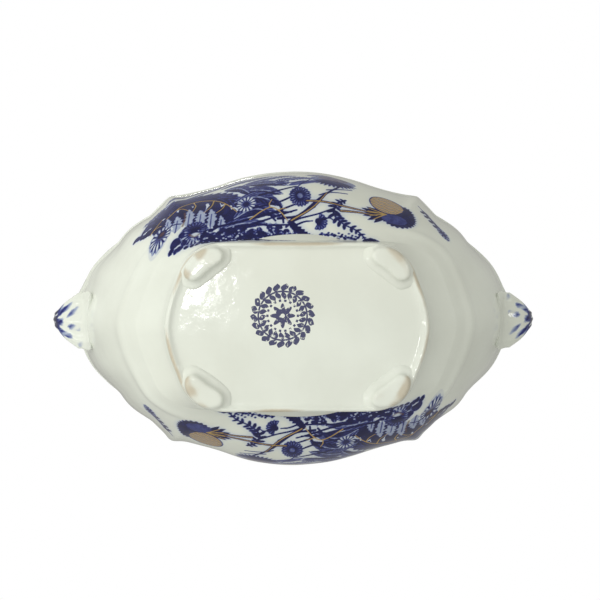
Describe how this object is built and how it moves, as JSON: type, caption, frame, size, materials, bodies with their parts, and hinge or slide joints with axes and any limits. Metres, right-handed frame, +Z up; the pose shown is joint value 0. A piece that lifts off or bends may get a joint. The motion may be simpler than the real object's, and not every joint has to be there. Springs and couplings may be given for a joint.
{
  "type": "gravy boat",
  "caption": "Boat-shaped glazed earthenware sauce vessel with pointed ends, a scalloped rim, a loop handle at each end and low corner feet.",
  "frame": {"origin": "on the surface that the boat stands on, under the middle of its base", "axes": "+X along the boat's length towards one handle, +Y across it, +Z up"},
  "size_m": [0.1976, 0.1228, 0.0755],
  "materials": {
    "printed_glaze": "off-white lead glaze over a cobalt transfer print of thistles and asters with gilt details, glossy",
    "handle_glaze": "off-white glaze over blue leaf printing, glossy",
    "foot_glaze": "off-white glaze, rubbed and stained light brown at the edges"
  },
  "bodies": {
    "root": {"bowl": "printed_glaze", "handle_right": "handle_glaze", "handle_left": "handle_glaze", "foot_back_right": "foot_glaze", "foot_front_right": "foot_glaze", "foot_back_left": "foot_glaze", "foot_front_left": "foot_glaze"}
  },
  "joints": []
}
